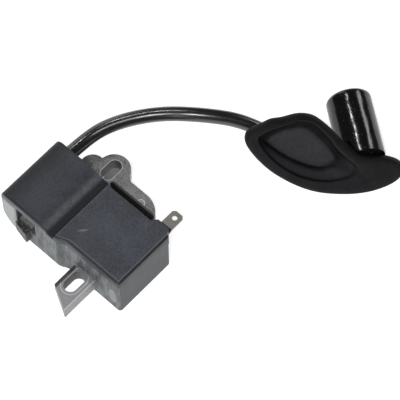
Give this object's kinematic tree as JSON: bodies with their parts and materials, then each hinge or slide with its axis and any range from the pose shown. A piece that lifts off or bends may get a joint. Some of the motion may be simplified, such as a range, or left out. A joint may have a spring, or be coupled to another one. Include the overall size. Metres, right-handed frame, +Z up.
{
  "type": "ignition coil",
  "caption": "Small-engine ignition module on a laminated steel core, with a spark lead, plug boot and leaf-shaped rubber cap.",
  "frame": {"origin": "centre of the module's outline in plan, from the slotted foot's tip to the fixing eye's back, at the housing's open underside (the lead, boot and cap left out)", "axes": "+X from the coil's barrel to the circuit block, +Y from the flywheel side to the lead and blade side, +Z up out of the housing's roof, along the fixing eye"},
  "size_m": [0.1237, 0.177, 0.0433],
  "materials": {
    "housing_plastic": "moulded, satin",
    "core_steel": "stamped electrical steel, dull",
    "rivet_steel": "satin",
    "bobbin_plastic": "moulded",
    "copper_wire": "enamelled wire",
    "board_laminate": "satin",
    "component_black": "moulded",
    "capacitor_case": "moulded",
    "terminal_brass": "tinned, dull",
    "seal_rubber": "matte",
    "lead_rubber": "glossy",
    "boot_rubber": "glossy",
    "cap_rubber": "matte",
    "potting_resin": "cast resin"
  },
  "bodies": {
    "root": {"housing": "housing_plastic", "core_laminations": "core_steel", "core_rivets": "rivet_steel", "primary_bobbin": "bobbin_plastic", "primary_winding": "copper_wire", "secondary_bobbin": "bobbin_plastic", "secondary_winding": "copper_wire", "charge_bobbin": "bobbin_plastic", "charge_winding": "copper_wire", "trigger_winding": "copper_wire", "circuit_board": "board_laminate", "diodes": "component_black", "resistors": "component_black", "storage_capacitor": "capacitor_case", "thyristor": "component_black", "control_chip": "component_black", "kill_blade": "terminal_brass", "ground_strap": "terminal_brass", "high_tension_pin": "terminal_brass", "high_tension_link": "terminal_brass", "lead_seal": "seal_rubber", "spark_lead": "lead_rubber", "boot_sleeve": "boot_rubber", "leaf_cap": "cap_rubber", "plug_contact": "terminal_brass", "potting": "potting_resin"}
  },
  "joints": []
}
